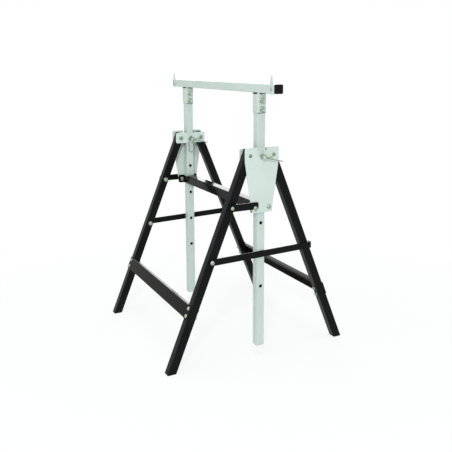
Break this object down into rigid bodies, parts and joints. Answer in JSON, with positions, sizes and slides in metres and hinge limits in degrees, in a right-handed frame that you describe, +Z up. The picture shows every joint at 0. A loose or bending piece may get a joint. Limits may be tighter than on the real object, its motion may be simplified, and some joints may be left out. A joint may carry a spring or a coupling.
{
  "type": "builders trestle",
  "caption": "Height-adjustable folding builders trestle: a square-tube beam on sliding posts, held by locking pins between splayed A-frames with tie bars and hook straps.",
  "frame": {"origin": "centre of the footprint, on the floor", "axes": "+X along the beam, +Y across it towards the rear legs, +Z up"},
  "size_m": [0.714, 0.59, 0.82],
  "materials": {
    "white_paint": "satin powder coat",
    "black_paint": "gloss",
    "zinc": "zinc plated",
    "plastic": "moulded"
  },
  "bodies": {
    "frame": {"left_outer_plate": "white_paint", "right_outer_plate": "white_paint", "left_inner_plate": "white_paint", "right_inner_plate": "white_paint", "crossbar": "black_paint", "pivot_bolts": "zinc", "pivot_nuts": "zinc", "pivot_washers": "zinc", "hook_bolts": "zinc", "plate_bolts": "zinc", "low_nuts": "zinc"},
    "front_legs": {"front_left_leg": "black_paint", "front_right_leg": "black_paint", "front_left_foot": "plastic", "front_right_foot": "plastic", "front_cross_member": "black_paint", "front_cross_bolts": "zinc", "front_cross_nuts": "zinc", "tie_bolts": "zinc", "tie_nuts": "zinc", "strap_bolts": "zinc", "strap_nuts": "zinc", "strap_spacers": "zinc"},
    "rear_legs": {"rear_left_leg": "black_paint", "rear_right_leg": "black_paint", "rear_left_foot": "plastic", "rear_right_foot": "plastic", "rear_cross_member": "black_paint", "rear_cross_bolts": "zinc", "rear_cross_nuts": "zinc"},
    "left_strap": {"left_strap": "black_paint"},
    "right_strap": {"right_strap": "black_paint"},
    "left_tie_bar": {"left_tie_bar": "black_paint"},
    "right_tie_bar": {"right_tie_bar": "black_paint"},
    "upper": {"beam": "white_paint", "left_beam_plug": "plastic", "right_beam_plug": "plastic", "left_stop": "white_paint", "right_stop": "white_paint", "stop_screws": "zinc", "left_post": "white_paint", "right_post": "white_paint", "left_post_keys": "white_paint", "right_post_keys": "white_paint", "left_sleeve": "white_paint", "right_sleeve": "white_paint", "sleeve_bolts": "zinc", "sleeve_nuts": "zinc"},
    "left_pin": {"left_pin": "zinc", "left_clip": "zinc"},
    "right_pin": {"right_pin": "zinc", "right_clip": "zinc"},
    "pull_loop": {"pull_loop": "zinc"}
  },
  "joints": [
    {"name": "fold", "type": "hinge", "parent": "frame", "child": "front_legs", "pos_m": [0, -0.0375, 0.6], "axis": [1, 0, 0], "range_deg": [0, 19]},
    {"name": "rear_fold", "type": "hinge", "parent": "frame", "child": "rear_legs", "pos_m": [0, 0.0375, 0.6], "axis": [1, 0, 0], "range_deg": [-19, 0]},
    {"name": "left_strap_swing", "type": "hinge", "parent": "front_legs", "child": "left_strap", "pos_m": [-0.2703, -0.09545, 0.4575], "axis": [1, 0, 0], "range_deg": [0, 71]},
    {"name": "right_strap_swing", "type": "hinge", "parent": "front_legs", "child": "right_strap", "pos_m": [0.2703, -0.09545, 0.4575], "axis": [1, 0, 0], "range_deg": [0, 71]},
    {"name": "left_tie_swing", "type": "hinge", "parent": "front_legs", "child": "left_tie_bar", "pos_m": [-0.2653, -0.15625, 0.308], "axis": [1, 0, 0], "range_deg": [-79, 0]},
    {"name": "right_tie_swing", "type": "hinge", "parent": "front_legs", "child": "right_tie_bar", "pos_m": [0.2653, -0.15625, 0.308], "axis": [1, 0, 0], "range_deg": [-79, 0]},
    {"name": "lift", "type": "slide", "parent": "frame", "child": "upper", "axis": [0, 0, 1], "range_m": [0, 0.38]},
    {"name": "left_pin_pull", "type": "slide", "parent": "upper", "child": "left_pin", "axis": [1, 0, 0], "range_m": [0, 0.06]},
    {"name": "right_pin_pull", "type": "slide", "parent": "upper", "child": "right_pin", "axis": [1, 0, 0], "range_m": [0, 0.06]},
    {"name": "loop_swing", "type": "hinge", "parent": "left_pin", "child": "pull_loop", "pos_m": [-0.228, 0, 0.594], "axis": [1, 0, 0], "range_deg": [-35, 35]}
  ],
  "couplings": [
    {"joint": "rear_fold", "follows": "fold", "ratio": -1},
    {"joint": "left_strap_swing", "follows": "fold", "ratio": 3.7368},
    {"joint": "left_tie_swing", "follows": "fold", "ratio": -4.1579},
    {"joint": "right_strap_swing", "follows": "fold", "ratio": 3.7368},
    {"joint": "right_tie_swing", "follows": "fold", "ratio": -4.1579}
  ]
}
